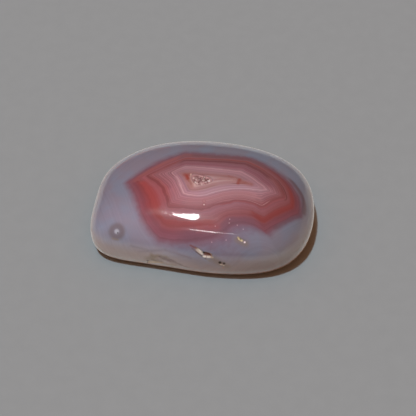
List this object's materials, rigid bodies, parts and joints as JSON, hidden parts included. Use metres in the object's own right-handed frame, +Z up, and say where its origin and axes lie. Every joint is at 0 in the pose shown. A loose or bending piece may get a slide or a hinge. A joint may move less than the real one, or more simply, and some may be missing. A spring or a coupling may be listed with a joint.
{
  "type": "banded agate cabochon",
  "caption": "Polished freeform cabochon of banded agate: flat base, rounded sides, gently domed top, with a small crystal-lined hollow at the centre of its bands.",
  "frame": {"origin": "middle of the flat base, under the middle of the stone's plan", "axes": "+Z up through the dome, +X along the stone's length, -Y towards the pitted front wall"},
  "size_m": [0.03, 0.0208, 0.008],
  "materials": {
    "banded_agate": "polished translucent chalcedony, red and pink bands inside grey-lavender ones",
    "quartz_druse": "small clear to pinkish quartz crystals with shiny faces"
  },
  "bodies": {
    "root": {"agate_stone": "banded_agate", "vug_crystals": "quartz_druse"}
  },
  "joints": []
}
